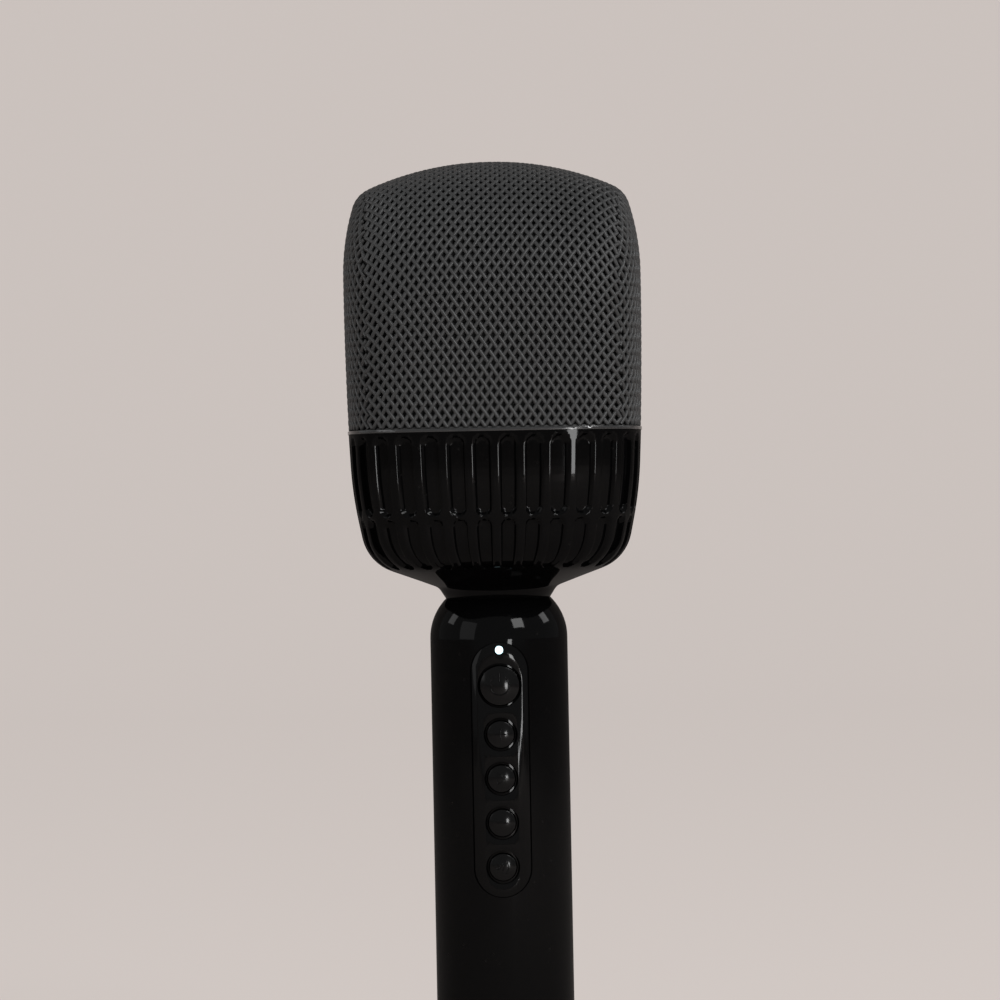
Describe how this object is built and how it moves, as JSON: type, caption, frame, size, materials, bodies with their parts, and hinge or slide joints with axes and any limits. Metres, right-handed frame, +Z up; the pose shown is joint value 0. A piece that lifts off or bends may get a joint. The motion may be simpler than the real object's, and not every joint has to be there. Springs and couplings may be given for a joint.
{
  "type": "karaoke microphone",
  "caption": "Handheld wireless karaoke microphone: rounded-square woven grille that lifts off a gloss speaker head, pinched neck and a slim handle with a push-button panel.",
  "frame": {"origin": "centre of the flat base, under the foot pad", "axes": "+Z up along the microphone towards the grille's crown; the control panel faces -Y; +X to the right seen from the front"},
  "size_m": [0.078, 0.078, 0.255],
  "materials": {
    "mesh": "black-lacquered woven wire, satin",
    "inner_mesh": "fine woven wire, dark",
    "foam": "open-cell black foam",
    "rim": "satin black",
    "gloss_black": "gloss black",
    "trim": "bright gloss black lip",
    "panel": "gloss black inlay",
    "button": "gloss black with raised symbols",
    "inner_plastic": "moulded black",
    "screw_steel": "zinc plated",
    "rubber": "matt black rubber",
    "basket_steel": "black enamel",
    "ferrite": "sintered ferrite",
    "yoke_steel": "plated steel",
    "coil": "enamelled copper wire",
    "cone_paper": "pressed black pulp",
    "capsule_metal": "spun can",
    "neck_metal": "turned, threaded",
    "board": "green solder mask",
    "component": "moulded epoxy",
    "switch": "moulded",
    "cell": "blue shrink sleeve",
    "lead": "insulated wire",
    "lamp": "clear light pipe, lit"
  },
  "bodies": {
    "microphone": {"collar_shell": "gloss_black", "collar_trim_ring": "trim", "speaker_baffle": "inner_plastic", "baffle_screws": "screw_steel", "speaker_gasket": "rubber", "speaker_frame": "basket_steel", "speaker_magnet": "ferrite", "speaker_yoke": "yoke_steel", "speaker_screws": "screw_steel", "capsule_bridge": "inner_plastic", "bridge_screws": "screw_steel", "capsule_shock_mount": "rubber", "mic_capsule": "capsule_metal", "neck_tube": "neck_metal", "neck_nut": "neck_metal", "handle_front_shell": "gloss_black", "handle_rear_shell": "gloss_black", "handle_screws": "screw_steel", "control_panel": "panel", "tact_switches": "switch", "led_light_pipe": "lamp", "status_led": "component", "control_board": "board", "board_screws": "screw_steel", "board_components": "component", "battery_cell": "cell", "battery_cradle": "inner_plastic", "usb_c_socket": "neck_metal", "charge_board": "board", "end_cap": "gloss_black", "end_cap_screws": "screw_steel", "foot_pad": "rubber", "speaker_leads": "lead", "capsule_leads": "lead"},
    "grille": {"grille_mesh": "mesh", "grille_inner_mesh": "inner_mesh", "windscreen_foam": "foam", "grille_rim_ring": "rim"},
    "speaker_cone_assembly": {"speaker_cone": "cone_paper", "speaker_voice_coil": "coil", "speaker_dust_cap": "cone_paper", "speaker_surround": "rubber"},
    "power_button_assembly": {"power_button": "button", "power_plunger": "switch"},
    "volume_up_button_assembly": {"volume_up_button": "button", "volume_up_plunger": "switch"},
    "play_button_assembly": {"play_button": "button", "play_plunger": "switch"},
    "volume_down_button_assembly": {"volume_down_button": "button", "volume_down_plunger": "switch"},
    "echo_button_assembly": {"echo_button": "button", "echo_plunger": "switch"}
  },
  "joints": [
    {"name": "grille_lift", "type": "slide", "parent": "microphone", "child": "grille", "axis": [0, 0, 1], "range_m": [0, 0.06]},
    {"name": "speaker_cone_travel", "type": "slide", "parent": "microphone", "child": "speaker_cone_assembly", "axis": [0, 0, 1], "range_m": [-0.0008, 0.0008], "stiffness_N_per_m": 1200, "deforming": ["speaker_surround"]},
    {"name": "power_press", "type": "slide", "parent": "microphone", "child": "power_button_assembly", "axis": [0, 1, 0], "range_m": [0, 0.0005], "stiffness_N_per_m": 2500},
    {"name": "volume_up_press", "type": "slide", "parent": "microphone", "child": "volume_up_button_assembly", "axis": [0, 1, 0], "range_m": [0, 0.0005], "stiffness_N_per_m": 2500},
    {"name": "play_press", "type": "slide", "parent": "microphone", "child": "play_button_assembly", "axis": [0, 1, 0], "range_m": [0, 0.0005], "stiffness_N_per_m": 2500},
    {"name": "volume_down_press", "type": "slide", "parent": "microphone", "child": "volume_down_button_assembly", "axis": [0, 1, 0], "range_m": [0, 0.0005], "stiffness_N_per_m": 2500},
    {"name": "echo_press", "type": "slide", "parent": "microphone", "child": "echo_button_assembly", "axis": [0, 1, 0], "range_m": [0, 0.0005], "stiffness_N_per_m": 2500}
  ]
}
